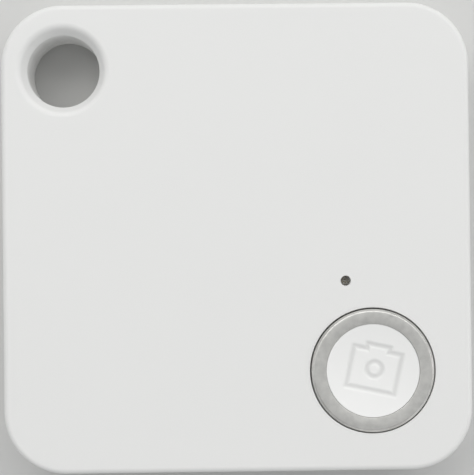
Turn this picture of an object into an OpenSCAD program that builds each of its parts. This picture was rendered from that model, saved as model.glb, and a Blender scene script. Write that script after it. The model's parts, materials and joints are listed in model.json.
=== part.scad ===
// Square Bluetooth tracker tag with a keyring bore, a sprung call button and a coin-cell battery.
// Millimetres. The tag lies on its rear face: Z = 0 is the rear face, +Z leaves the front face,
// +Y points to the edge beside the keyring bore and the origin is the middle of the rear face.

/* [Case] */
// Width and height of the square case
case_w = 38; // [38:0.5:42]
// Thickness of the case from the rear face to the front face
case_t = 7; // [7:0.1:8]
// Corner radius of the outline
corner_r = 5; // [4.8:0.1:5.5]
// Rounding of the outer edges
edge_r = 0.45; // [0.2:0.05:0.5]
// Thickness of the side walls
wall_t = 1.3; // [1.3:0.05:1.5]
// Thickness of the front wall
front_t = 1; // [0.9:0.05:1]
// Height of the joint between the two shells
split_z = 2.4; // [2.3:0.05:2.5]

/* [Keyring bore] */
// Radius of the bore that a keyring passes through
bore_r = 2.95; // [2.6:0.05:3]
// Width of the bore's flared rims, which a ring rides on
bore_flare = 0.9; // [0.7:0.1:1]
// Wall around the bore
bore_wall = 1.2; // [1:0.1:1.3]
// How far the bore's axis lies below the middle of the corner's arc
bore_drop = 0.3; // [0:0.1:0.4]

/* [Button] */
// Distance of the button's axis from the case's middle, along X and along -Y
button_offset = 10.9; // [10.7:0.1:11.1]
// Outer radius of the silver ring
ring_r = 4.99; // [4.8:0.01:5]
// Radius of the white cap inside the ring
cap_r = 3.78; // [3.5:0.02:3.9]
// Gap between the ring and the front shell
button_gap = 0.11; // [0.1:0.01:0.18]
// How far the ring stands out of the front face
button_proud = 0.24; // [0.15:0.01:0.3]
// Travel of the button
button_travel = 0.3; // [0.2:0.05:0.3]
// Turn of the camera symbol, which a round cap doesn't hold square
symbol_turn = -12.3; // [-20:0.1:20]

/* [Sound hole] */
// Radius of the sound hole
sound_r = 0.42; // [0.3:0.02:0.5]
// Place of the sound hole
sound_xy = [8.78, -3.6];

/* [Battery] */
// Radius of the coin cell
cell_r = 10; // [9.9:0.1:10]
// Height of the coin cell
cell_h = 3.2; // [3:0.1:3.2]
// Turn that unlocks the battery door
door_turn = 30; // [28:1:32]

/* [Hidden] */
$fn = 96;

over = 1;                                   // how far a cutter runs past what it cuts
front_z = case_t;                           // front face
roof_z = case_t - front_t;                  // inside of the front wall
cavity_w = case_w - 2 * wall_t;
cavity_r = corner_r - wall_t;
bore_xy = [corner_r - case_w / 2, case_w / 2 - corner_r - bore_drop];
collar_r = bore_r + bore_wall;
flare_round_r = 0.6;                        // rounding between the face and a flare
flare_slope = 60;                           // degrees that a flare goes down at
flare_turn = flare_round_r * [sin(flare_slope), 1 - cos(flare_slope)];
flare_depth = flare_turn[1] + (bore_flare - flare_turn[0]) * tan(flare_slope);
button_xy = [button_offset, -button_offset];
opening_r = ring_r + button_gap;
opening_edge_r = 0.06;
seam_r = 0.08;                              // rounding of the outer edges at the joint

// lip of the rear shell, which stands inside the front shell
lip_h = 0.8;
lip_t = 0.6;
lip_gap = 0.05;
lip_w = cavity_w + 2 * lip_t;
lip_r = cavity_r + lip_t;
snap_r = 0.16;
snap_len = 4;
snap_z = split_z + 0.45;
snap_x = [-7, 7];

// battery door and the ledge that holds its lugs
floor_t = 1.2;
door_r = 12.1;
door_gap = 0.12;
door_sink = 0.05;                           // the door's face is set in by this much
head_top_z = 0.8;
ledge_low_z = 0.9;
ledge_top_z = 1.5;
ledge_r = 10.85;
hub_r = 10.75;
hub_wall_r = 10.25;
hub_floor_z = 1.1;
hub_top_z = 2.15;
boss_r = 13;
lug_z = 1.57;
lug_r = 11.4;
lug_arc = 22;
lug_slack = 2;                              // degrees of play at each end of the turn
notch_arc = lug_arc + 3;
stop_arc = 4;
seal_cord_r = 0.2;
seal_r = door_r - 0.42;                     // radius of the cord's middle
seal_z = ledge_low_z - 0.02 - seal_cord_r;
coin_slot = [15, 1.7, 0.55];                // length between the round ends, width and depth
coin_slot_edge_r = 0.2;

// coin cell
cell_z = 1.4;
cell_top_z = cell_z + cell_h;
can_t = 0.25;
cell_cap_r = 8.9;

// inner frame, circuit board and what is on it
board_t = 0.8;
board_z = 3.9;
board_top_z = board_z + board_t;
board_w = cavity_w - 0.8;
board_hole_r = cell_r + 0.7;
frame_low_z = 2.3;
deck_z = 3.3;
frame_r = 11.2;
screw_xy = [[-14.8, -2.5], [-1.5, -14.8], [3.5, 14.8]];
screw_r = 0.55;
screw_boss_r = 1.5;
screw_head = [1.15, 0.65];                  // radius and height
screw_len = 2.3;
chip_xy = [12.4, 12.2];
contact_t = 0.15;
contact_w = 3;

// buzzer, glued under a round rib of the front wall
buzzer_xy = [7.2, 1.5];
buzzer_rib = [6.3, 7.15, 0.45];             // inner radius, outer radius and height
buzzer_plate_r = 7;
buzzer_plate_t = 0.2;
buzzer_ceramic_r = 5;
buzzer_ceramic_t = 0.15;
glue_t = 0.05;
mesh_r = 1;
glue_z = roof_z - buzzer_rib[2] - glue_t;
plate_z = glue_z - buzzer_plate_t;
ceramic_z = plate_z - buzzer_ceramic_t;
wire_r = 0.13;

// button and its snap dome
flange_r = ring_r + 0.55;
flange_top_z = roof_z - 0.05;
flange_t = 0.55;
plunger_r = 1;
dome_r = 3;
dome_h = button_travel + 0.05;
dome_t = 0.08;
film_t = 0.05;
dome_sphere_r = (dome_r * dome_r + dome_h * dome_h) / (2 * dome_h);
ring_top_z = front_z + button_proud;
ring_bevel = 0.18;                          // width and height of the bevel round the ring
cap_sink = 0.03;                            // the cap's rim lies this far under the ring's face
dish_depth = 0.35;
dish_r = (cap_r * cap_r + dish_depth * dish_depth) / (2 * dish_depth);
symbol_depth = 0.1;

// ---------- shapes that repeat ----------

module tube(r_out, r_in, h) {
    difference() {
        cylinder(r = r_out, h = h);
        translate([0, 0, -over]) cylinder(r = r_in, h = h + 2 * over);
    }
}

// a slice of a ring between two radii, arc degrees wide and centred on +X
module arc_block(r_in, r_out, h, arc) {
    rotate(-arc / 2) rotate_extrude(angle = arc) translate([r_in, 0]) square([r_out - r_in, h]);
}

// the section from a plate's middle to its edge, with the outer corners rounded
module edge_section(depth, h, low_r, high_r) {
    difference() {
        square([depth, h]);
        if (high_r > 0)
            translate([depth - high_r, h - high_r]) corner_waste(high_r);
        if (low_r > 0)
            translate([depth - low_r, low_r]) mirror([0, 1]) corner_waste(low_r);
    }
}

module corner_waste(r) {
    difference() {
        square(r + over);
        circle(r);
    }
}

// a square plate with round corners and rounded lower and upper edges
module rounded_slab(w, r, h, low_r = 0, high_r = 0) {
    s = w / 2 - r;
    for (a = [0 : 90 : 270]) rotate(a) translate([s, s, 0]) {
        rotate_extrude(angle = 90) edge_section(r, h, low_r, high_r);
        rotate([90, 0, 0]) linear_extrude(2 * s) edge_section(r, h, low_r, high_r);
    }
    translate([-s, -s, 0]) cube([2 * s, 2 * s, h]);
}

// cuts a round hole down from a face at the top, with the rim at that face rounded
module hole_from(r, depth, rim_r) {
    translate([0, 0, -depth]) cylinder(r = r, h = depth + over);
    rotate_extrude() rim_waste(r, rim_r);
}

// cuts the keyring bore down from a face at the top, with a flare at that face
module flared_bore(depth) {
    slope_r = bore_r + bore_flare - flare_turn[0];
    translate([0, 0, -depth]) cylinder(r = bore_r, h = depth + over);
    rotate_extrude() {
        polygon([[0, -flare_depth], [bore_r, -flare_depth], [slope_r, -flare_turn[1]],
                 [slope_r, over], [0, over]]);
        difference() {
            translate([slope_r, -flare_turn[1]]) square([flare_turn[0], flare_turn[1] + over]);
            translate([bore_r + bore_flare, -flare_round_r]) circle(flare_round_r);
        }
    }
}

// cuts a slot with round ends down from a face at the top, with the rim at that face rounded
module slot_from(length, width, depth, rim_r) {
    side_r = width / 2;
    translate([-length / 2, -side_r, -depth]) cube([length, width, depth + over]);
    for (turn = [0, 180]) rotate(turn) {
        translate([length / 2, 0, 0]) hole_from(side_r, depth, rim_r);
        translate([-length / 2, 0, 0]) rotate([90, 0, 90])
            linear_extrude(length) rim_waste(side_r, rim_r);
    }
}

// what a rounded rim takes off beside a hole of radius r whose face is at the height 0
module rim_waste(r, rim_r) translate([0, -rim_r]) difference() {
    square([r + rim_r, rim_r + over]);
    translate([r + rim_r, 0]) circle(rim_r);
    translate([r + rim_r, rim_r]) square(over + 1);
}

module at_screws() {
    for (p = screw_xy) translate([p[0], p[1], 0]) children();
}

// the outline that the frame and the board share, w wide
module deck_outline(w, screw_hole_r) {
    difference() {
        rounded_square(w, cavity_r - (cavity_w - w) / 2);
        translate(bore_xy) circle(collar_r + 0.3);
        for (p = screw_xy) translate(p) circle(screw_hole_r);
    }
}

module rounded_square(w, r) {
    s = w / 2 - r;
    for (a = [0 : 90 : 270]) rotate(a) {
        translate([s, s]) intersection() {
            circle(r);
            square(r);
        }
        translate([-s, s]) square([2 * s, r]);
    }
    square(2 * s, center = true);
}

// a surface-mounted part, its metal ends included, centred on the place and lying on the board
module chip_part(size, place, turn = 0) {
    translate([place[0], place[1], board_top_z]) rotate(turn)
        translate([-size[0] / 2, -size[1] / 2, 0]) cube(size);
}

// a straight wire between two solder dots; the first hangs from above, the second is on the board
module soldered_wire(from, to) {
    run = to - from;
    translate(from) rotate([0, acos(run[2] / norm(run)), atan2(run[1], run[0])])
        cylinder(r = wire_r, h = norm(run));
    translate([from[0], from[1], from[2] - wire_r]) cylinder(r = 0.45, h = 2 * wire_r);
    translate([to[0], to[1], board_top_z]) cylinder(r = 0.5, h = to[2] + wire_r - board_top_z);
}

// ---------- case ----------

module front_shell() color("white") {
    difference() {
        union() {
            difference() {
                translate([0, 0, split_z])
                    rounded_slab(case_w, corner_r, case_t - split_z, seam_r, edge_r);
                translate([0, 0, split_z - over])
                    rounded_slab(cavity_w, cavity_r, roof_z - split_z + over);
                translate([0, 0, split_z - over])
                    rounded_slab(lip_w + 2 * lip_gap, lip_r + lip_gap, over + lip_h + lip_gap);
                snap_beads(snap_r + lip_gap);
            }
            translate([bore_xy[0], bore_xy[1], split_z])
                cylinder(r = collar_r, h = roof_z - split_z + front_t / 2);
            at_screws() translate([0, 0, board_top_z])
                cylinder(r = screw_boss_r, h = roof_z - board_top_z + front_t / 2);
            translate([buzzer_xy[0], buzzer_xy[1], roof_z - buzzer_rib[2]])
                tube(buzzer_rib[1], buzzer_rib[0], buzzer_rib[2] + front_t / 2);
        }
        translate([bore_xy[0], bore_xy[1], front_z]) flared_bore(case_t);
        translate([bore_xy[0], bore_xy[1], split_z]) mirror([0, 0, 1]) hole_from(bore_r, over, seam_r);
        translate([button_xy[0], button_xy[1], front_z]) hole_from(opening_r, 2 * front_t, opening_edge_r);
        translate([sound_xy[0], sound_xy[1], roof_z - over]) cylinder(r = sound_r, h = 2 * over + front_t);
        translate([sound_xy[0], sound_xy[1], roof_z - over]) cylinder(r = mesh_r + 0.04, h = over + 0.2);
        at_screws() translate([0, 0, board_top_z - over])
            cylinder(r = screw_r + 0.03, h = over + 1.15);
    }
}

// beads along two opposite sides of the lip that snap into the front shell
module snap_beads(r) {
    for (side = [-1, 1], x = snap_x)
        translate([x - snap_len / 2, side * lip_w / 2, snap_z]) rotate([0, 90, 0])
            cylinder(r = r, h = snap_len);
}

module rear_shell() color("white") {
    difference() {
        union() {
            difference() {
                union() {
                    rounded_slab(case_w, corner_r, split_z, edge_r, seam_r);
                    lip();
                }
                translate([0, 0, floor_t]) rounded_slab(cavity_w, cavity_r, case_t);
            }
            translate([bore_xy[0], bore_xy[1], floor_t / 2])
                cylinder(r = collar_r, h = split_z - floor_t / 2);
            translate([0, 0, floor_t / 2]) cylinder(r = boss_r, h = ledge_top_z - floor_t / 2);
            // stops at both ends of each lug's turn
            for (a = [0 : 120 : 240], end = [-1, 1])
                rotate(a - door_turn / 2 + end * (door_turn / 2 + lug_arc / 2 + lug_slack + stop_arc / 2))
                    translate([0, 0, ledge_low_z])
                        arc_block(ledge_r + 0.1, boss_r - 0.3, hub_top_z - ledge_low_z, stop_arc);
        }
        translate([bore_xy[0], bore_xy[1], 0]) mirror([0, 0, 1]) flared_bore(case_t);
        translate([bore_xy[0], bore_xy[1], split_z]) hole_from(bore_r, over, seam_r);
        translate([0, 0, -over]) cylinder(r = ledge_r, h = case_t);
        mirror([0, 0, 1]) hole_from(door_r + door_gap, ledge_low_z, 0.1);
        for (a = [0 : 120 : 240]) rotate(a - door_turn)
            translate([0, 0, -over]) arc_block(ledge_r - 0.5, lug_r + 0.1, case_t, notch_arc);
        // a large and a small dimple mark the door's locked and unlocked places
        rotate(90) translate([door_r + 1.1, 0, -over]) cylinder(r = 0.4, h = over + 0.15);
        rotate(90 - door_turn) translate([door_r + 1.1, 0, -over]) cylinder(r = 0.25, h = over + 0.15);
    }
}

// the rear shell's lip, which stops short of the keyring bore's collar
module lip() difference() {
    union() {
        translate([0, 0, split_z / 2]) rounded_slab(lip_w, lip_r, split_z / 2 + lip_h);
        snap_beads(snap_r);
    }
    translate([bore_xy[0], bore_xy[1], split_z]) cylinder(r = collar_r + 0.1, h = case_t);
}

module sound_mesh() color("dimgray")
    translate([sound_xy[0], sound_xy[1], roof_z + 0.05]) cylinder(r = mesh_r, h = 0.15);

// ---------- battery door ----------

module battery_door() color("white") difference() {
    union() {
        translate([0, 0, door_sink])
            rotate_extrude() edge_section(door_r, head_top_z - door_sink, 0.12, 0);
        translate([0, 0, head_top_z / 2]) cylinder(r = hub_r, h = hub_floor_z - head_top_z / 2);
        translate([0, 0, head_top_z / 2]) tube(hub_r, hub_wall_r, hub_top_z - head_top_z / 2);
        for (a = [0 : 120 : 240]) rotate(a) translate([0, 0, lug_z])
            arc_block(hub_r - 0.4, lug_r, hub_top_z - lug_z, lug_arc);
    }
    translate([0, 0, seal_z - seal_cord_r])
        tube(seal_r + seal_cord_r + 0.02, seal_r - seal_cord_r - 0.02, over);
    translate([0, 0, door_sink]) mirror([0, 0, 1])
        slot_from(coin_slot[0], coin_slot[1], coin_slot[2], coin_slot_edge_r);
    // arrow that points to the locked and unlocked dimples
    translate([0, door_r - 2.4, door_sink - over]) linear_extrude(over + 0.15)
        polygon([[-0.75, 0], [0.75, 0], [0, 1.3]]);
}

module door_seal() color("black") rotate_extrude() translate([seal_r, seal_z]) circle(seal_cord_r);

module door_foam() color("gray")
    translate([0, 0, hub_floor_z]) cylinder(r = 8.5, h = cell_z - hub_floor_z - 0.04);

// ---------- frame and board ----------

module inner_frame() color("darkslategray") difference() {
    union() {
        translate([0, 0, deck_z]) linear_extrude(board_z - deck_z)
            deck_outline(board_w - 0.4, screw_r + 0.2);
        translate([0, 0, frame_low_z]) cylinder(r = frame_r, h = board_z - frame_low_z);
    }
    translate([0, 0, -over]) cylinder(r = cell_r + 0.25, h = case_t);
    // way through for the positive contact
    translate([-frame_r - 0.6, -contact_w / 2 - 0.3, 0]) cube([2, contact_w + 0.6, case_t]);
    // openings under the board's corners
    for (p = [[1, 1], [1, -1], [-1, -1]]) translate([p[0] * 12.6, p[1] * 12.6, deck_z - over])
        rounded_slab(5, 1.2, case_t);
}

module frame_screws() color("silver") at_screws() difference() {
    union() {
        translate([0, 0, deck_z - screw_head[1]]) mirror([0, 0, 1]) translate([0, 0, -screw_head[1]])
            rotate_extrude() edge_section(screw_head[0], screw_head[1], 0, 0.2);
        translate([0, 0, deck_z - 0.1]) cylinder(r = screw_r, h = screw_len);
        translate([0, 0, deck_z - 0.1 + screw_len]) cylinder(r1 = screw_r, r2 = 0.15, h = 0.3);
    }
    for (a = [0, 90]) rotate(a) translate([-0.7, -0.13, deck_z - screw_head[1] - over])
        cube([1.4, 0.26, over + 0.35]);
}

module circuit_board() color("seagreen") translate([0, 0, board_z]) linear_extrude(board_t)
    difference() {
        deck_outline(board_w, screw_r + 0.2);
        circle(board_hole_r);
    }

module bluetooth_chip() color("black") difference() {
    chip_part([5, 5, 0.85], chip_xy);
    translate([chip_xy[0] - 1.9, chip_xy[1] + 1.9, board_top_z + 0.8]) cylinder(r = 0.3, h = over);
}

module crystal() color("silver") {
    chip_part([2, 1.6, 0.3], [8.4, 13.6]);
    chip_part([1.8, 1.4, 0.5], [8.4, 13.6]);
}

module antenna_trace() color("goldenrod") translate([0, 0, board_top_z]) {
    pitch = 1.2;
    span = 2;
    line = 0.4;
    for (i = [0 : 9]) translate([14.6, -4 + i * pitch, 0]) cube([span, line, 0.05]);
    for (i = [0 : 8]) translate([14.6 + (i % 2 == 0 ? span - line : 0), -4 + i * pitch, 0])
        cube([line, pitch + line, 0.05]);
}

module chip_capacitors() color("tan") {
    for (p = [[8.9, 11.4], [13.2, 8.7], [11.4, 8.7], [7, 15.6]]) chip_part([1, 0.5, 0.5], p, 90);
    chip_part([3.2, 1.6, 1.1], [-13.4, -6.6]);
}

module chip_resistors() color("black")
    for (p = [[2.2, -13.6], [2.2, -14.8], [-5.4, -13.4], [-5.4, -14.6], [15.6, 8.9]])
        chip_part([1, 0.5, 0.35], p);

// ---------- buzzer ----------

module buzzer_coil() color("dimgray") difference() {
    chip_part([3, 3, 1], [-13.8, -10.4]);
    translate([-13.8, -10.4, board_top_z + 0.85]) tube(1.2, 0.9, over);
}

module buzzer_transistor() color("black") {
    chip_part([2.9, 1.3, 1], [-9.4, -14.2]);
    for (p = [[-10.35, -15.1], [-8.45, -15.1], [-9.4, -13.3]]) chip_part([0.4, 0.6, 0.4], p);
}

module buzzer_plate() color("gold")
    translate([buzzer_xy[0], buzzer_xy[1], plate_z]) cylinder(r = buzzer_plate_r, h = buzzer_plate_t);

module buzzer_ceramic() color("whitesmoke") translate([buzzer_xy[0], buzzer_xy[1], ceramic_z])
    cylinder(r = buzzer_ceramic_r, h = buzzer_ceramic_t);

module buzzer_adhesive() color("khaki")
    translate([buzzer_xy[0], buzzer_xy[1], glue_z]) tube(buzzer_plate_r, buzzer_rib[0], glue_t);

module buzzer_wire_red() color("red") soldered_wire(
    [buzzer_xy[0] + 3.4, buzzer_xy[1] - 1, ceramic_z - wire_r], [13.5, -1, board_top_z + wire_r]);

module buzzer_wire_black() color("black") soldered_wire(
    [buzzer_xy[0] + 4.4, buzzer_xy[1] - 4.2, plate_z - wire_r], [13.4, -5, board_top_z + wire_r]);

// ---------- button ----------

module button_ring() color("silver") translate([button_xy[0], button_xy[1], flange_top_z])
    rotate_extrude() difference() {
        h = ring_top_z - flange_top_z;
        square([ring_r, h]);
        translate([ring_r, h]) rotate(45) square(ring_bevel * sqrt(2), center = true);
        translate([-over, -over]) square([cap_r + 0.02 + over, h + 2 * over]);
    }

module button_cap() color("snow") translate([button_xy[0], button_xy[1], 0]) {
    rim_z = ring_top_z - cap_sink;
    difference() {
        union() {
            translate([0, 0, flange_top_z - flange_t]) cylinder(r = flange_r, h = flange_t);
            translate([0, 0, flange_top_z - flange_t]) rotate_extrude()
                edge_section(cap_r, rim_z - flange_top_z + flange_t, 0, 0.06);
            translate([0, 0, board_top_z + dome_h + film_t + 0.03])
                cylinder(r = plunger_r, h = flange_t);
        }
        dish(rim_z);
        intersection() {
            dish(rim_z - symbol_depth);
            translate([0, 0, rim_z - 1]) linear_extrude(2) rotate(symbol_turn) camera_symbol();
        }
    }
}

// the hollow of the cap's face, from a sphere whose circle at height z has the cap's radius
module dish(z) translate([0, 0, z + dish_r - dish_depth]) sphere(dish_r, $fn = 192);

// outline of a plain camera with a round lens
module camera_symbol() {
    body = [4.3, 3.6];
    hump = [2.2, 0.4];
    line = 0.35;
    lens_r = 0.6;
    translate([0.09, 0.02]) {
        difference() {
            camera_shape(body, hump, 0);
            camera_shape(body, hump, line);
        }
        translate([0.02, 0.08]) difference() {
            circle(lens_r + line / 2);
            circle(lens_r - line / 2);
        }
    }
}

// a rectangle with a hump on its upper side, both smaller by inset all round
module camera_shape(body, hump, inset) {
    square(body - [2, 2] * inset, center = true);
    translate([inset - hump[0] / 2, 0]) square([hump[0] - 2 * inset, body[1] / 2 + hump[1] - inset]);
}

// a shallow dome over the board between two sphere radii
module dome_shell(r_out, r_in) rotate_extrude() intersection() {
    translate([0, board_top_z + dome_h - dome_sphere_r]) difference() {
        circle(r_out, $fn = 720);
        circle(r_in, $fn = 720);
    }
    translate([0, board_top_z]) square([dome_r + 1, over]);
}

module dome_switch() color("silver") translate([button_xy[0], button_xy[1], 0])
    dome_shell(dome_sphere_r, dome_sphere_r - dome_t);

module dome_film() color("orange") translate([button_xy[0], button_xy[1], 0]) {
    dome_shell(dome_sphere_r + 0.01 + film_t, dome_sphere_r + 0.01);
    translate([0, 0, board_top_z]) tube(dome_r + 1.2, dome_r + 0.15, film_t);
}

// ---------- coin cell and its contacts ----------

module battery_can() color("silver") rotate_extrude() difference() {
    lip_z = cell_top_z - 0.2;               // top of the lip that is crimped over the gasket
    translate([0, cell_z]) edge_section(cell_r, lip_z - cell_z, 0.3, 0.15);
    translate([-over, cell_z + can_t]) square([over + cell_r - can_t, lip_z - cell_z - 2 * can_t]);
    translate([-over, cell_z + can_t]) square([over + cell_cap_r + 0.3, cell_h]);
}

module battery_gasket() color("dimgray") rotate_extrude() {
    translate([cell_cap_r, cell_z + can_t])
        square([cell_r - can_t - cell_cap_r, cell_top_z - 0.2 - 2 * can_t - cell_z]);
    translate([cell_cap_r - can_t, cell_z + can_t]) square(can_t);
    translate([cell_cap_r, cell_z + 2 * can_t]) square([0.3, cell_h - 2 * can_t - 0.25]);
}

module battery_cap() color("silver") rotate_extrude() difference() {
    translate([0, cell_z + 2 * can_t]) edge_section(cell_cap_r, cell_h - 2 * can_t, 0, 0.3);
    translate([-over, cell_z + can_t]) square([over + cell_cap_r - can_t, cell_h - 2 * can_t]);
}

module battery_core() color("black") translate([0, 0, cell_z + can_t])
    cylinder(r = cell_cap_r - can_t, h = cell_h - 2 * can_t);

module positive_contact() color("goldenrod") {
    leaf_x = cell_r + 0.05;
    translate([-leaf_x - contact_t, -contact_w / 2, 2.4])
        cube([contact_t, contact_w, board_top_z + contact_t - 2.4]);
    translate([-leaf_x - 3, -contact_w / 2, board_top_z]) cube([3, contact_w, contact_t]);
}

module negative_contact() color("goldenrod") rotate(225) translate([0, 0, board_top_z]) {
    arm_w = 2.4;
    difference() {
        union() {
            translate([0, -arm_w / 2, 0]) cube([14.2, arm_w, contact_t]);
            cylinder(r = arm_w / 2, h = contact_t);
        }
        translate([12.8, 0, -over]) cylinder(r = 0.4, h = 3 * over);
    }
    // dimple that presses on the cell
    intersection() {
        translate([0, 0, 0.95]) sphere(1.05);
        translate([0, 0, -over]) cylinder(r = 0.8, h = over + 0.05);
    }
}

front_shell();
rear_shell();
button_ring();
button_cap();
sound_mesh();
battery_door();
door_seal();
door_foam();
inner_frame();
frame_screws();
circuit_board();
dome_switch();
dome_film();
bluetooth_chip();
crystal();
antenna_trace();
chip_capacitors();
chip_resistors();
buzzer_coil();
buzzer_transistor();
buzzer_plate();
buzzer_ceramic();
buzzer_adhesive();
buzzer_wire_red();
buzzer_wire_black();
battery_can();
battery_cap();
battery_gasket();
battery_core();
positive_contact();
negative_contact();
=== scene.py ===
"""A square Bluetooth tracker tag lying on a pale floor, front face up.

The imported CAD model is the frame: its shells, door and inner parts stay and get procedural materials. The
button's cap and ring, the snap dome with its film, the mesh behind the sound hole and the metal ends of the
small chips are built here in finer geometry. Lengths are in metres, and MM turns millimetres into them.
"""

import json
import math

import bmesh
import bpy
import numpy as np
from mathutils import Matrix, Vector


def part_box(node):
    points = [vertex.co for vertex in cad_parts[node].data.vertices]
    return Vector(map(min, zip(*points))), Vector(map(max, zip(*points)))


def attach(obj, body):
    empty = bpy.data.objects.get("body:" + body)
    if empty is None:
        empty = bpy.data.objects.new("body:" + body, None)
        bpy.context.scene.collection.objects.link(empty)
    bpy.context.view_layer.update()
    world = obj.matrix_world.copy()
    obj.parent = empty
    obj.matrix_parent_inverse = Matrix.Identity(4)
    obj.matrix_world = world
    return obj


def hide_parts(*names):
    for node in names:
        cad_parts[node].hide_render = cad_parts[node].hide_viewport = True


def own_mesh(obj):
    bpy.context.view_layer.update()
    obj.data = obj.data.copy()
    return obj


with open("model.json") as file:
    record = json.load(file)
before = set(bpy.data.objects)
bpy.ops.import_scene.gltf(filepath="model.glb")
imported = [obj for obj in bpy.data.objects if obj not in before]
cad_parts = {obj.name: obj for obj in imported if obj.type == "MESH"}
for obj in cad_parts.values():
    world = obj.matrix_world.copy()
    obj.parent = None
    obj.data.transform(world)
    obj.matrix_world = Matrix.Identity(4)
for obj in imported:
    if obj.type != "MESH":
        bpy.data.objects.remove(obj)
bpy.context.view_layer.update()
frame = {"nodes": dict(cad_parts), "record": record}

MM = 0.001
FRONT_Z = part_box("front_shell")[1].z
RING_LOW, RING_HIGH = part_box("button_ring")
CAP_LOW, CAP_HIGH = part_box("button_cap")
MESH_LOW, MESH_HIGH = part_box("sound_mesh")
DOME_LOW, DOME_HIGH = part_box("dome_switch")
FILM_LOW, FILM_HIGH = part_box("dome_film")
BUTTON_AXIS = (RING_LOW + RING_HIGH) / 2
SOUND_AXIS = (MESH_LOW + MESH_HIGH) / 2

# button cap
CAP_R = 3.78 * MM
CAP_EDGE_R = 0.04 * MM
DISH_DEPTH = 0.35 * MM
FLANGE_T = 0.55 * MM
PLUNGER_R = 1 * MM
PLUNGER_EDGE_R = 0.15 * MM
CAP_RINGS = 125                     # of points on the hollow face, close enough together for the symbol
CAP_SEGMENTS = 400
CAP_WHITE = (0.90, 0.90, 0.89)
CAP_ROUGHNESS = 0.36
GROOVE_PAINTED_SHADE = 0.84                 # painted shade in the symbol's grooves: the cap's colour there, as a share of the rest

# camera symbol, pressed into the cap
SYMBOL_TURN = math.radians(-12.3)
SYMBOL_MIDDLE = (0.09 * MM, 0.02 * MM)
SYMBOL_BODY = (4.3 * MM, 3.6 * MM)
SYMBOL_HUMP = (2.2 * MM, 0.4 * MM)
SYMBOL_CORNER_R = 0.12 * MM
SYMBOL_LENS = (0.11 * MM, 0.10 * MM)
SYMBOL_LENS_R = 0.6 * MM            # middle of the lens's groove
SYMBOL_LINE = 0.35 * MM
SYMBOL_DEPTH = 0.07 * MM
SYMBOL_SHOULDER = 0.29 * MM         # width over which a groove's side goes down

# ring round the cap
RING_BEVEL = 0.18 * MM              # width and height of the bevel round the ring's outer edge
RING_BEND_R = 0.16 * MM             # where the flat face turns into the bevel
RING_CORNER_R = 0.08 * MM           # where the bevel turns into the outer wall
RING_INNER_EDGE_R = 0.03 * MM
RING_GAP = 0.02 * MM                # between the ring and the cap
RING_SEGMENTS = 320
RING_SILVER = (0.685, 0.68, 0.655)
RING_ROUGHNESS = 0.46

# woven mesh behind the sound hole
WIRE_R = 0.03 * MM
WIRE_PITCH = 0.13 * MM
WIRE_SIDES = 8
WIRE_STEPS = 6                      # along each pitch
MESH_RIM_W = 0.22 * MM
MESH_RIM_EDGE_W = 0.03 * MM
MESH_RIM_SEGMENTS = 96
MESH_GREY = (0.62, 0.61, 0.59)

# snap dome and its film
DOME_T = 0.08 * MM
DOME_DIMPLE_R = 0.45 * MM
DOME_DIMPLE_DEPTH = 0.03 * MM
DOME_RINGS = 40
DOME_SEGMENTS = 160
FILM_T = 0.05 * MM
FILM_OVER = 0.35 * MM               # how far the film's upper side is raised past the dome's edge
FILM_UNDER = 0.2 * MM               # the same for its lower side
FILM_FOOT = 0.5 * MM                # where the film is flat on the board

# case
CASE_WHITE = (0.82, 0.82, 0.81)
DOOR_SHADE = 0.985                  # the door was moulded apart and is a little darker

# inner frame, in a coarser grain than the case
FRAME_GRAIN = 0.12 * MM
FRAME_GRAIN_DEPTH = 0.006 * MM

# copper tracks under the board's lacquer
TRACK_BLOCK = 3.2 * MM              # the size of the blocks that the tracks run in
TRACK_PITCH = 0.42 * MM
TRACK_W = 0.15 * MM
TRACK_EDGE_W = 0.02 * MM

# metal ends of the chips, each a share of its chip's length
CHIP_END_SHARE = {"chip_capacitors": 0.22, "chip_resistors": 0.2}
CHIP_END_T = 0.015 * MM
WELD_DISTANCE = 0.0001 * MM         # points of a CAD mesh closer than this are one point
CORNERS_OF_BOX_FACES = ((0, 1, 3, 2), (4, 6, 7, 5), (0, 4, 5, 1), (2, 3, 7, 6), (0, 2, 6, 4), (1, 5, 7, 3))


# ---------- camera, floor and light ----------

CAMERA_RISE = 120 * MM              # above the front face
CAMERA_FOOT = (-1.7 * MM, -0.8 * MM)
CAMERA_LENS = 112.3                 # millimetres, on a sensor CAMERA_SENSOR wide
CAMERA_SENSOR = 36
CAMERA_ROLL = math.radians(0.635)
FLOOR_GAP = 0.02 * MM               # under the rear face, so that the two never lie in one plane
FLOOR_SIZE = 3                      # metres
WORLD_COLOUR = (0.97, 0.985, 1.0)
WORLD_STRENGTH = 0.385
PANELS = (                          # name, azimuth in degrees and power in watts
    ("right_panel", 0, 0.88),
    ("corner_panel", 315, 0.62),
    ("near_panel", 270, 0.48),
    ("left_panel", 180, 0.45),
)


def add_camera():
    """A camera that looks down at the middle of the front face from a little to its lower left."""
    data = bpy.data.cameras.new("camera")
    data.lens = CAMERA_LENS
    data.sensor_width = CAMERA_SENSOR
    camera = bpy.data.objects.new("camera", data)
    bpy.context.scene.collection.objects.link(camera)
    place = Vector((*CAMERA_FOOT, FRONT_Z + CAMERA_RISE))
    forward = (Vector((0, 0, FRONT_Z)) - place).normalized()
    right = forward.cross(Vector((math.sin(CAMERA_ROLL), math.cos(CAMERA_ROLL), 0))).normalized()
    up = right.cross(forward)
    turn = Matrix((right, up, -forward)).transposed().to_4x4()
    camera.matrix_world = Matrix.Translation(place) @ turn
    bpy.context.scene.camera = camera


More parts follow.
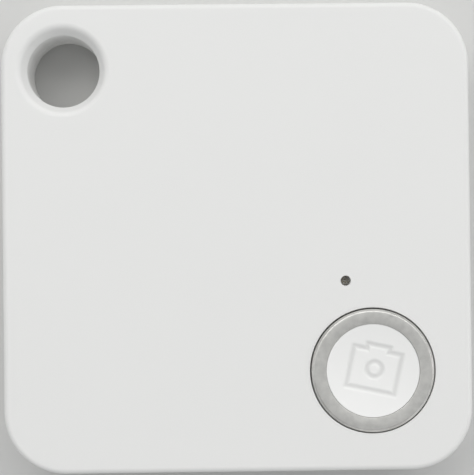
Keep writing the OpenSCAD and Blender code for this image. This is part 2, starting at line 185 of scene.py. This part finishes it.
def add_light(name, azimuth, elevation, distance, size, power, colour=(1, 1, 1)):
    """A square area light that faces the tag. Azimuth and elevation are in degrees: 0 is +X and 90 is +Y."""
    data = bpy.data.lights.new(name, "AREA")
    data.shape = "SQUARE"
    data.size = size
    data.energy = power
    data.color = colour
    light = bpy.data.objects.new(name, data)
    a, e = math.radians(azimuth), math.radians(elevation)
    out = Vector((math.cos(a) * math.cos(e), math.sin(a) * math.cos(e), math.sin(e)))
    light.location = out * distance
    light.rotation_euler = (-out).to_track_quat("-Z", "Y").to_euler()
    bpy.context.scene.collection.objects.link(light)


def add_stage():
    """The floor, the even light of the room, a window, two lamps, and a low panel on each darker side."""
    bpy.ops.mesh.primitive_plane_add(size=FLOOR_SIZE)
    floor = bpy.context.object
    floor.name = "floor"
    floor.location.z = -FLOOR_GAP
    floor.data.materials.append(floor_material())
    world = bpy.data.worlds.new("studio")
    world.use_nodes = True
    back = world.node_tree.nodes["Background"]
    back.inputs["Color"].default_value = (*WORLD_COLOUR, 1)
    back.inputs["Strength"].default_value = WORLD_STRENGTH
    bpy.context.scene.world = world
    add_light("window", azimuth=90, elevation=45, distance=1.05, size=1.1, power=4.6, colour=(1, 1, 0.985))
    add_light("lamp", azimuth=136, elevation=55, distance=0.55, size=0.3, power=0.55, colour=(1, 0.99, 0.97))
    add_light("side_lamp", azimuth=34, elevation=50, distance=0.55, size=0.25, power=0.46,
              colour=(1, 0.995, 0.98))
    for name, azimuth, power in PANELS:
        add_light(name, azimuth, elevation=20, distance=1, size=0.3, power=power)
    bpy.context.scene.view_settings.view_transform = "Standard"


# ---------- material helpers ----------

class Surface:
    """A material with a Principled shader, and short ways to add nodes to it."""

    def __init__(self, name, colour, roughness, metallic=0):
        self.material = bpy.data.materials.new(name)
        self.material.use_nodes = True
        self.tree = self.material.node_tree
        self.shader = self.tree.nodes["Principled BSDF"]
        self.shader.inputs["Base Color"].default_value = (*colour, 1)
        self.shader.inputs["Roughness"].default_value = roughness
        self.shader.inputs["Metallic"].default_value = metallic
        self.place = self.add("ShaderNodeTexCoord").outputs["Object"]

    def add(self, kind, links=None, **settings):
        """A node with some of its settings or unlinked inputs set, and links from outputs to inputs."""
        node = self.tree.nodes.new(kind)
        for key, value in settings.items():
            if key in node.inputs:
                node.inputs[key].default_value = value
            else:
                setattr(node, key, value)
        for key, output in (links or {}).items():
            self.tree.links.new(output, node.inputs[key])
        return node

    def noise(self, size, detail=2, place=None):
        """A noise whose lumps are about size metres across, from 0 to 1."""
        node = self.add("ShaderNodeTexNoise", {"Vector": place or self.place}, Scale=1 / size, Detail=detail)
        return node.outputs["Fac"]

    def stretched(self, x, y, z):
        """The place with each axis multiplied, so that a noise on it gets long lumps."""
        return self.add("ShaderNodeMapping", {"Vector": self.place}, Scale=(x, y, z)).outputs["Vector"]

    def cells(self, size):
        """The distance from the middle of cells about size metres across."""
        node = self.add("ShaderNodeTexVoronoi", {"Vector": self.place}, Scale=1 / size)
        return node.outputs["Distance"]

    def turned(self, size, axis):
        """A noise that changes only with the distance from a vertical axis, like the marks of a lathe."""
        out = self.add("ShaderNodeVectorMath", {0: self.place}, operation="SUBTRACT")
        out.inputs[1].default_value = axis
        flat = self.add("ShaderNodeVectorMath", {0: out.outputs["Vector"]}, operation="MULTIPLY")
        flat.inputs[1].default_value = (1, 1, 0)
        radius = self.add("ShaderNodeVectorMath", {0: flat.outputs["Vector"]}, operation="LENGTH")
        node = self.add("ShaderNodeTexNoise", {"W": radius.outputs["Value"]}, noise_dimensions="1D",
                        Scale=1 / size, Detail=3)
        return node.outputs["Fac"]

    def tracks(self, place):
        """1 on evenly spaced lines and 0 between them, by one coordinate of the place."""
        away = self.add("ShaderNodeMath", {0: place}, operation="PINGPONG")
        away.inputs[1].default_value = TRACK_PITCH / 2
        return self.span(away.outputs["Value"], 1, 0, TRACK_W / 2, TRACK_W / 2 + TRACK_EDGE_W)

    def span(self, value, low, high, start=0.0, end=1.0):
        """Maps start..end to low..high."""
        node = self.add("ShaderNodeMapRange", {"Value": value})
        node.inputs["From Min"].default_value = start
        node.inputs["From Max"].default_value = end
        node.inputs["To Min"].default_value = low
        node.inputs["To Max"].default_value = high
        return node.outputs["Result"]

    def colours(self, factor, first, second):
        """Sets the colour to a blend of two colours by a factor from 0 to 1, and gives it back."""
        node = self.add("ShaderNodeMix", data_type="RGBA")
        socket_of = {socket.identifier: socket for socket in node.inputs}
        self.tree.links.new(factor, socket_of["Factor_Float"])
        for name, value in (("A_Color", first), ("B_Color", second)):
            if isinstance(value, tuple):
                socket_of[name].default_value = (*value, 1)
            else:
                self.tree.links.new(value, socket_of[name])
        result = next(socket for socket in node.outputs if socket.identifier == "Result_Color")
        self.tree.links.new(result, self.shader.inputs["Base Color"])
        return result

    def roughness(self, value, low, high, start=0.0, end=1.0):
        """Sets the roughness from low to high where a value goes from start to end."""
        self.tree.links.new(self.span(value, low, high, start, end), self.shader.inputs["Roughness"])

    def bump(self, height, depth, under=None):
        """Raises the surface by up to depth metres where height is 1, on top of another bump's normal."""
        links = {"Height": height}
        if under:
            links["Normal"] = under
        node = self.add("ShaderNodeBump", links, Strength=1.0, Distance=depth)
        self.tree.links.new(node.outputs["Normal"], self.shader.inputs["Normal"])
        return node.outputs["Normal"]


def shade(colour, factor):
    """A colour made lighter or darker by a factor."""
    return tuple(min(1.0, c * factor) for c in colour)


def floor_material():
    """Matte paper with a faint change of tone."""
    s = Surface("floor", (0.66, 0.66, 0.65), 0.7)
    s.colours(s.noise(50 * MM, detail=4), (0.64, 0.64, 0.63), (0.68, 0.68, 0.67))
    return s.material


# ---------- materials ----------

def moulded_plastic(name, colour, roughness, grain=0.10 * MM, depth=0.0025 * MM):
    """Injection-moulded plastic: fine spark-eroded grain, faint waviness and a slight change of tone."""
    s = Surface(name, colour, roughness)
    tone = s.colours(s.noise(7 * MM, detail=3), shade(colour, 0.985), shade(colour, 1.01))
    fine = s.noise(grain, detail=3)
    s.colours(s.span(fine, 0, 1, start=0.35, end=0.65), tone, shade(colour, 1.012))
    s.roughness(fine, roughness - 0.06, roughness + 0.06, start=0.3, end=0.7)
    wave = s.bump(s.noise(9 * MM, detail=1), depth=0.02 * MM)
    s.bump(fine, depth, under=wave)
    return s.material


def cap_plastic(name, colour):
    """Smooth moulded plastic, greyer in the symbol's grooves as painted shade."""
    s = Surface(name, colour, CAP_ROUGHNESS)
    tone = s.colours(s.noise(3 * MM, detail=3), shade(colour, 0.985), shade(colour, 1.01))
    # the grooves' depth darkens the colour there as painted shade
    groove = s.add("ShaderNodeAttribute", attribute_name="groove").outputs["Fac"]
    s.colours(groove, tone, shade(colour, GROOVE_PAINTED_SHADE))
    fine = s.noise(0.14 * MM, detail=3)
    s.roughness(fine, CAP_ROUGHNESS - 0.06, CAP_ROUGHNESS + 0.06, start=0.3, end=0.7)
    s.bump(fine, depth=0.0012 * MM)
    return s.material


def turned_metal(name, colour, roughness, axis):
    """Satin metal with the fine concentric marks that a lathe leaves, under a fine blasted speckle."""
    s = Surface(name, colour, roughness, metallic=1)
    marks = s.turned(0.045 * MM, axis)
    patches = s.span(s.noise(0.6 * MM, detail=5), 0, 1, start=0.35, end=0.65)
    tone = s.colours(patches, shade(colour, 0.90), shade(colour, 1.05))
    s.colours(s.span(marks, 0, 0.4, start=0.3, end=0.7), tone, shade(colour, 1.04))
    speckle = s.noise(0.11 * MM, detail=2)
    s.roughness(speckle, roughness - 0.06, roughness + 0.06, start=0.3, end=0.7)
    turned = s.bump(marks, depth=0.0012 * MM)
    s.bump(speckle, depth=0.0016 * MM, under=turned)
    return s.material


def rolled_metal(name, colour, roughness):
    """Sheet metal with fine marks along the direction that it was rolled in, and a few duller places."""
    s = Surface(name, colour, roughness, metallic=1)
    lines = s.noise(0.06 * MM, detail=3, place=s.stretched(0.06, 1, 1))
    s.colours(s.noise(1.8 * MM, detail=4), shade(colour, 0.88), shade(colour, 1.06))
    s.roughness(lines, roughness - 0.07, roughness + 0.12, start=0.3, end=0.7)
    s.bump(lines, depth=0.0015 * MM)
    return s.material


def rubber(name, colour):
    """Black rubber with a fine matte grain and duller patches."""
    s = Surface(name, colour, 0.55)
    s.colours(s.noise(0.8 * MM, detail=3), shade(colour, 0.8), shade(colour, 1.5))
    s.roughness(s.noise(0.3 * MM, detail=2), 0.48, 0.66)
    s.bump(s.noise(0.12 * MM, detail=3), depth=0.004 * MM)
    return s.material


def foam(name, colour):
    """Open cells, with painted shade in their hollows."""
    s = Surface(name, colour, 0.95)
    cells = s.cells(0.28 * MM)
    # darker towards the cells' middles, which the bump sinks: painted shade
    s.colours(s.span(cells, 0, 1, start=0.1, end=0.7), shade(colour, 0.45), shade(colour, 1.25))
    s.bump(cells, depth=0.08 * MM)
    return s.material


def solder_mask(name, colour):
    """Glossy green lacquer over bands of copper tracks and filled areas, which show through lighter."""
    s = Surface(name, colour, 0.28)
    blocks = s.add("ShaderNodeTexVoronoi", {"Vector": s.place}, distance="CHEBYCHEV", Scale=1 / TRACK_BLOCK,
                   Randomness=0.8).outputs["Color"]
    pick = s.add("ShaderNodeSeparateColor", {"Color": blocks}).outputs
    across = s.add("ShaderNodeSeparateXYZ", {"Vector": s.place}).outputs
    along_x, along_y = s.tracks(across["Y"]), s.tracks(across["X"])
    turned = s.add("ShaderNodeMath", {0: pick["Red"]}, operation="GREATER_THAN").outputs["Value"]
    tracks = s.add("ShaderNodeMix", {"Factor": turned, "A": along_x, "B": along_y}).outputs["Result"]
    filled = s.span(pick["Green"], 0, 1, start=0.74, end=0.75)
    copper = s.add("ShaderNodeMath", {0: tracks, 1: filled}, operation="MAXIMUM").outputs["Value"]
    tone = s.colours(copper, shade(colour, 0.78), shade(colour, 1.15))
    s.colours(s.span(s.noise(0.5 * MM, detail=3), 0, 0.25), tone, shade(colour, 1.3))
    s.roughness(s.noise(0.9 * MM, detail=3), 0.22, 0.36)
    s.bump(copper, depth=0.012 * MM)
    s.shader.inputs["Coat Weight"].default_value = 0.3
    return s.material


def polyimide(name, colour):
    """Amber film, partly clear and slightly wavy."""
    s = Surface(name, colour, 0.22)
    s.colours(s.noise(1.5 * MM, detail=2), shade(colour, 0.9), shade(colour, 1.1))
    s.roughness(s.noise(0.4 * MM, detail=2), 0.17, 0.3)
    s.bump(s.noise(2.5 * MM, detail=1), depth=0.01 * MM)
    s.shader.inputs["Transmission Weight"].default_value = 0.45
    return s.material


def epoxy(name, colour):
    """Moulded chip package with its fine mineral filler."""
    s = Surface(name, colour, 0.5)
    filler = s.noise(0.05 * MM, detail=2)
    s.colours(s.span(filler, 0, 1, start=0.55, end=0.75), colour, shade(colour, 2.2))
    s.roughness(filler, 0.42, 0.6)
    s.bump(filler, depth=0.003 * MM)
    return s.material


def ceramic(name, colour, roughness=0.42):
    """Fired ceramic with a fine speckle."""
    s = Surface(name, colour, roughness)
    speckle = s.noise(0.09 * MM, detail=3)
    s.colours(speckle, shade(colour, 0.9), shade(colour, 1.08))
    s.roughness(speckle, roughness - 0.08, roughness + 0.1)
    s.bump(speckle, depth=0.002 * MM)
    return s.material


def adhesive(name, colour):
    """Cured glue, partly clear, with an uneven surface."""
    s = Surface(name, colour, 0.3)
    s.colours(s.noise(0.7 * MM, detail=2), shade(colour, 0.85), shade(colour, 1.05))
    s.roughness(s.noise(0.5 * MM, detail=2), 0.2, 0.42)
    s.bump(s.noise(0.9 * MM, detail=2), depth=0.02 * MM)
    s.shader.inputs["Transmission Weight"].default_value = 0.4
    return s.material


def insulation(name, colour):
    """The smooth plastic of a wire's insulation."""
    s = Surface(name, colour, 0.33)
    s.colours(s.noise(0.6 * MM, detail=2), shade(colour, 0.85), shade(colour, 1.12))
    s.roughness(s.noise(0.25 * MM, detail=2), 0.26, 0.42)
    s.bump(s.noise(0.2 * MM, detail=2), depth=0.003 * MM)
    return s.material


def pressed_powder(name, colour):
    """Dark grains pressed together."""
    s = Surface(name, colour, 0.85)
    grains = s.cells(0.09 * MM)
    s.colours(grains, shade(colour, 0.6), shade(colour, 1.9))
    s.bump(grains, depth=0.02 * MM)
    return s.material


def woven_wire(name, colour):
    """Drawn wire, slightly dulled."""
    s = Surface(name, colour, 0.45, metallic=0.55)
    s.colours(s.noise(0.2 * MM, detail=2), shade(colour, 0.85), shade(colour, 1.15))
    s.roughness(s.noise(0.08 * MM, detail=2), 0.38, 0.55)
    s.bump(s.noise(0.03 * MM, detail=1), depth=0.0008 * MM)
    return s.material


SURFACES = {
    "case_white": lambda name, colour: moulded_plastic(name, CASE_WHITE, 0.5),
    "door_white": lambda name, colour: moulded_plastic(name, shade(CASE_WHITE, DOOR_SHADE), 0.52),
    "cap_white": lambda name, colour: cap_plastic(name, CAP_WHITE),
    "ring_silver": lambda name, colour: turned_metal(name, RING_SILVER, RING_ROUGHNESS, BUTTON_AXIS),
    "mesh_grey": lambda name, colour: woven_wire(name, MESH_GREY),
    "seal_black": rubber,
    "foam_grey": foam,
    "frame_black": lambda name, colour: moulded_plastic(name, colour, 0.55, FRAME_GRAIN, FRAME_GRAIN_DEPTH),
    "screw_steel": lambda name, colour: rolled_metal(name, colour, 0.30),
    "board_green": solder_mask,
    "dome_steel": lambda name, colour: turned_metal(name, colour, 0.2, BUTTON_AXIS),
    "film_amber": polyimide,
    "chip_black": epoxy,
    "crystal_can": lambda name, colour: rolled_metal(name, colour, 0.28),
    "trace_gold": lambda name, colour: rolled_metal(name, colour, 0.25),
    "capacitor_tan": ceramic,
    "resistor_black": lambda name, colour: ceramic(name, colour, 0.3),
    "coil_grey": epoxy,
    "plate_brass": lambda name, colour: rolled_metal(name, colour, 0.32),
    "ceramic_white": ceramic,
    "glue_clear": adhesive,
    "wire_red": insulation,
    "wire_black": insulation,
    "cell_steel": lambda name, colour: rolled_metal(name, colour, 0.24),
    "cell_gasket": lambda name, colour: moulded_plastic(name, colour, 0.5),
    "cell_core": pressed_powder,
    "contact_gold": lambda name, colour: rolled_metal(name, colour, 0.22),
}
record_colour = {m["slot"]: tuple(m["base_color"]) for m in frame["record"]["materials"]}
surface_of = {slot: make(slot + "_surface", record_colour[slot]) for slot, make in SURFACES.items()}


# ---------- mesh helpers ----------

def add_piece(name, vertices, faces, slot, body, replaced=(), sharp=40):
    """A smooth-shaded mesh, with edges over sharp degrees kept hard, that rides on a body."""
    mesh = bpy.data.meshes.new(name)
    mesh.from_pydata([tuple(v) for v in vertices], [], faces)
    shape = bmesh.new()
    shape.from_mesh(mesh)
    bmesh.ops.recalc_face_normals(shape, faces=shape.faces)
    shape.to_mesh(mesh)
    shape.free()
    mesh.shade_smooth()
    mesh.set_sharp_from_angle(angle=math.radians(sharp))
    mesh.materials.append(surface_of[slot])
    piece = bpy.data.objects.new(name, mesh)
    bpy.context.scene.collection.objects.link(piece)
    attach(piece, body)
    if replaced:
        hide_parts(*replaced)
    return piece


def arc(middle, radius, start, end, steps):
    """Points (radius, height) along an arc, from start to end degrees above the outward line."""
    turns = np.radians(np.linspace(start, end, steps + 1))
    return [(middle[0] + radius * math.cos(t), middle[1] + radius * math.sin(t)) for t in turns]


def lathe(axis, profile, segments, closed=False):
    """Vertices and faces of a profile turned round a vertical axis. An open one starts and ends on it."""
    turns = np.linspace(0, 2 * math.pi, segments, endpoint=False)
    rings = profile if closed else profile[1:-1]
    around = [(math.cos(t), math.sin(t)) for t in turns]
    vertices = np.array([(axis.x + r * c, axis.y + r * s, z) for r, z in rings for c, s in around])
    faces = []
    for i in range(len(rings) if closed else len(rings) - 1):
        a, b = i * segments, (i + 1) % len(rings) * segments
        faces += [(a + j, a + (j + 1) % segments, b + (j + 1) % segments, b + j) for j in range(segments)]
    if not closed:
        top, bottom = len(vertices), len(vertices) + 1
        last = (len(rings) - 1) * segments
        vertices = np.vstack([vertices, (axis.x, axis.y, profile[0][1]), (axis.x, axis.y, profile[-1][1])])
        faces += [(top, j, (j + 1) % segments) for j in range(segments)]
        faces += [(bottom, last + (j + 1) % segments, last + j) for j in range(segments)]
    return vertices, faces


# ---------- button ----------

def dish_height(radius):
    """Height of the cap's hollow face at a distance from the button's axis."""
    sphere_r = (CAP_R ** 2 + DISH_DEPTH ** 2) / (2 * DISH_DEPTH)
    return CAP_HIGH.z - DISH_DEPTH + sphere_r - math.sqrt(sphere_r ** 2 - radius ** 2)


def box_distance(x, y, middle, size, corner_r):
    """Signed distance from a rectangle with round corners, negative inside."""
    dx = np.abs(x - middle[0]) - size[0] / 2 + corner_r
    dy = np.abs(y - middle[1]) - size[1] / 2 + corner_r
    outside = np.hypot(np.maximum(dx, 0), np.maximum(dy, 0))
    return outside + np.minimum(np.maximum(dx, dy), 0) - corner_r


def groove(distance):
    """Depth from 0 to 1 of a groove SYMBOL_LINE wide with soft shoulders, by distance from its middle."""
    t = (SYMBOL_LINE / 2 + SYMBOL_SHOULDER / 2 - np.abs(distance)) / SYMBOL_SHOULDER
    t = np.clip(t, 0, 1)
    return t * t * (3 - 2 * t)


def symbol_depth(x, y):
    """Depth from 0 to 1 of the camera symbol at places measured from the button's axis."""
    u = x * math.cos(SYMBOL_TURN) + y * math.sin(SYMBOL_TURN)
    v = y * math.cos(SYMBOL_TURN) - x * math.sin(SYMBOL_TURN)
    body = box_distance(u, v, SYMBOL_MIDDLE, SYMBOL_BODY, SYMBOL_CORNER_R)
    hump_h = SYMBOL_BODY[1] / 2 + SYMBOL_HUMP[1]
    hump_middle = (SYMBOL_MIDDLE[0], SYMBOL_MIDDLE[1] + hump_h / 2)
    hump = box_distance(u, v, hump_middle, (SYMBOL_HUMP[0], hump_h), SYMBOL_CORNER_R)
    outline = groove(np.minimum(body, hump) + SYMBOL_LINE / 2)
    lens = groove(np.hypot(u - SYMBOL_LENS[0], v - SYMBOL_LENS[1]) - SYMBOL_LENS_R)
    return np.maximum(outline, lens)


def add_cap():
    """The cap with its hollow face, flange and plunger in one lathe profile, and the symbol sunk in it."""
    flange_top, flange_low = RING_LOW.z, RING_LOW.z - FLANGE_T
    flange_r = (CAP_HIGH.x - CAP_LOW.x) / 2
    face_r = CAP_R - CAP_EDGE_R
    profile = [(r, dish_height(r)) for r in np.linspace(0, face_r, CAP_RINGS)]
    profile += arc((face_r, CAP_HIGH.z - CAP_EDGE_R), CAP_EDGE_R, 78, 0, steps=5)
    profile += [(CAP_R, flange_top), (flange_r, flange_top), (flange_r, flange_low), (PLUNGER_R, flange_low)]
    foot_middle = (PLUNGER_R - PLUNGER_EDGE_R, CAP_LOW.z + PLUNGER_EDGE_R)
    profile += arc(foot_middle, PLUNGER_EDGE_R, 0, -90, steps=4)
    profile += [(0, CAP_LOW.z)]
    vertices, faces = lathe(BUTTON_AXIS, profile, CAP_SEGMENTS)
    x, y = vertices[:, 0] - BUTTON_AXIS.x, vertices[:, 1] - BUTTON_AXIS.y
    on_face = vertices[:, 2] > CAP_HIGH.z - DISH_DEPTH - CAP_EDGE_R
    depth = symbol_depth(x, y) * on_face
    vertices[:, 2] -= SYMBOL_DEPTH * depth
    cap = add_piece("cap_with_symbol", vertices, faces, "cap_white", "button", ["button_cap"])
    # the symbol's depth, kept on the points, is where the cap's material paints shade
    cap.data.attributes.new("groove", "FLOAT", "POINT").data.foreach_set("value", depth)


def add_ring():
    """The ring: flat face, bevel and outer wall, with its upper edges rounded."""
    outer_r, inner_r = (RING_HIGH.x - RING_LOW.x) / 2, CAP_R + RING_GAP
    low, high = RING_LOW.z, RING_HIGH.z
    corner_run, bend_run = (r * math.tan(math.radians(22.5)) for r in (RING_CORNER_R, RING_BEND_R))
    profile = [(inner_r, low), (outer_r, low)]
    corner_middle = (outer_r - RING_CORNER_R, high - RING_BEVEL - corner_run)
    bend_middle = (outer_r - RING_BEVEL - bend_run, high - RING_BEND_R)
    inner_middle = (inner_r + RING_INNER_EDGE_R, high - RING_INNER_EDGE_R)
    profile += arc(corner_middle, RING_CORNER_R, 0, 45, steps=5)
    profile += arc(bend_middle, RING_BEND_R, 45, 90, steps=8)
    profile += arc(inner_middle, RING_INNER_EDGE_R, 90, 180, steps=4)
    vertices, faces = lathe(BUTTON_AXIS, profile, RING_SEGMENTS, closed=True)
    add_piece("silver_ring", vertices, faces, "ring_silver", "button", ["button_ring"])


# ---------- snap dome ----------

def dome_profile(radius, height, low, dimple=0):
    """Points from the axis to the foot of a shallow dome, with a dimple of some depth in its middle."""
    sphere_r = (radius ** 2 + height ** 2) / (2 * height)
    points = []
    for r in np.linspace(0, radius, DOME_RINGS):
        dip = dimple * max(0, 1 - (r / DOME_DIMPLE_R) ** 2) ** 2
        points.append((r, low + height - sphere_r + math.sqrt(sphere_r ** 2 - r ** 2) - dip))
    return points


def add_dome():
    """The snap dome and the film over it, each on a mesh of its own."""
    dome_r, dome_h = (DOME_HIGH.x - DOME_LOW.x) / 2, DOME_HIGH.z - DOME_LOW.z
    upper = dome_profile(dome_r, dome_h, DOME_LOW.z, DOME_DIMPLE_DEPTH)
    lower = dome_profile(dome_r - 2 * DOME_T, dome_h - DOME_T, DOME_LOW.z, DOME_DIMPLE_DEPTH)
    vertices, faces = lathe(BUTTON_AXIS, upper + lower[::-1], DOME_SEGMENTS)
    dome = add_piece("snap_dome", vertices, faces, "dome_steel", "case", ["dome_switch"])
    film_r = (FILM_HIGH.x - FILM_LOW.x) / 2
    film_h = FILM_HIGH.z - FILM_LOW.z
    upper = dome_profile(dome_r + FILM_OVER, film_h - FILM_T, FILM_LOW.z + FILM_T)[:-1]
    upper += [(dome_r + FILM_FOOT, FILM_LOW.z + FILM_T), (film_r, FILM_LOW.z + FILM_T)]
    lower = [(film_r, FILM_LOW.z), (dome_r + FILM_OVER, FILM_LOW.z)]
    lower += dome_profile(dome_r + FILM_UNDER, film_h - FILM_T, FILM_LOW.z)[::-1]
    vertices, faces = lathe(BUTTON_AXIS, upper + lower, DOME_SEGMENTS)
    film = add_piece("dome_cover_film", vertices, faces, "film_amber", "case", ["dome_film"])
    for piece in (dome, film):
        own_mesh(piece)


# ---------- sound mesh ----------

def add_wire(vertices, faces, along_x, offset, start, end, phase):
    """Adds one wire that waves over and under the wires it crosses."""
    steps = max(4, round((end - start) / WIRE_PITCH * WIRE_STEPS))
    base = len(vertices)
    for place in np.linspace(start, end, steps + 1):
        height = SOUND_AXIS.z + phase * WIRE_R * math.cos(math.pi * place / WIRE_PITCH)
        for side in range(WIRE_SIDES):
            turn = 2 * math.pi * side / WIRE_SIDES
            across, z = offset + WIRE_R * math.cos(turn), height + WIRE_R * math.sin(turn)
            x, y = (place, across) if along_x else (across, place)
            vertices.append((SOUND_AXIS.x + x, SOUND_AXIS.y + y, z))
    for i in range(steps):
        a, b = base + i * WIRE_SIDES, base + (i + 1) * WIRE_SIDES
        for side in range(WIRE_SIDES):
            after = (side + 1) % WIRE_SIDES
            faces.append((a + side, a + after, b + after, b + side))
    faces.append(tuple(base + side for side in range(WIRE_SIDES))[::-1])
    faces.append(tuple(base + steps * WIRE_SIDES + side for side in range(WIRE_SIDES)))


def add_sound_mesh():
    """Wires woven over and under each other, held in a rim."""
    mesh_r = (MESH_HIGH.x - MESH_LOW.x) / 2
    woven_r = mesh_r - MESH_RIM_W / 2
    vertices, faces = [], []
    count = int(woven_r / WIRE_PITCH)
    for i in range(-count, count + 1):
        reach = math.sqrt(woven_r ** 2 - (i * WIRE_PITCH) ** 2)
        phase = 1 if i % 2 == 0 else -1
        add_wire(vertices, faces, True, i * WIRE_PITCH, -reach, reach, phase)
        add_wire(vertices, faces, False, i * WIRE_PITCH, -reach, reach, -phase)
    add_piece("sound_mesh_weave", vertices, faces, "mesh_grey", "case", ["sound_mesh"])
    inner_r = mesh_r - MESH_RIM_W
    profile = [(inner_r, MESH_LOW.z), (mesh_r, MESH_LOW.z), (mesh_r, MESH_HIGH.z)]
    profile += [(inner_r + MESH_RIM_EDGE_W, MESH_HIGH.z), (inner_r, MESH_HIGH.z - MESH_RIM_EDGE_W)]
    vertices, faces = lathe(SOUND_AXIS, profile, MESH_RIM_SEGMENTS, closed=True)
    add_piece("sound_mesh_rim", vertices, faces, "mesh_grey", "case", ["sound_mesh"])


# ---------- metal ends of the small chips ----------

def islands(node_name):
    """Lowest and highest corner of each separate solid in a CAD node."""
    node = frame["nodes"][node_name]
    shape = bmesh.new()
    shape.from_mesh(node.data)
    bmesh.ops.remove_doubles(shape, verts=shape.verts, dist=WELD_DISTANCE)
    waiting = set(shape.verts)
    boxes = []
    while waiting:
        front = [waiting.pop()]
        found = []
        while front:
            vertex = front.pop()
            found.append(node.matrix_world @ vertex.co)
            near = {edge.other_vert(vertex) for edge in vertex.link_edges} & waiting
            waiting -= near
            front += near
        places = np.array(found)
        boxes.append((places.min(axis=0), places.max(axis=0)))
    shape.free()
    return sorted(boxes, key=lambda box: tuple(box[0].round(5)))


def add_chip_ends(node_name):
    """Tinned caps over both ends of each chip of a CAD node."""
    vertices, faces = [], []
    for low, high in islands(node_name):
        along = int(np.argmax((high - low)[:2]))
        length = CHIP_END_SHARE[node_name] * (high - low)[along]
        for at_start in (True, False):
            a, b = low - CHIP_END_T, high + CHIP_END_T
            a[2] = low[2]
            if at_start:
                b[along] = low[along] + length
            else:
                a[along] = high[along] - length
            base = len(vertices)
            vertices += [(x, y, z) for x in (a[0], b[0]) for y in (a[1], b[1]) for z in (a[2], b[2])]
            faces += [tuple(base + i for i in face) for face in CORNERS_OF_BOX_FACES]
    add_piece(node_name + "_ends", vertices, faces, "crystal_can", "case", sharp=30)


# ---------- the whole scene ----------

add_camera()
add_stage()
for node in frame["nodes"].values():
    node.data.materials[0] = surface_of[node.data.materials[0].name]
add_cap()
add_ring()
add_dome()
add_sound_mesh()
for chips in CHIP_END_SHARE:
    add_chip_ends(chips)
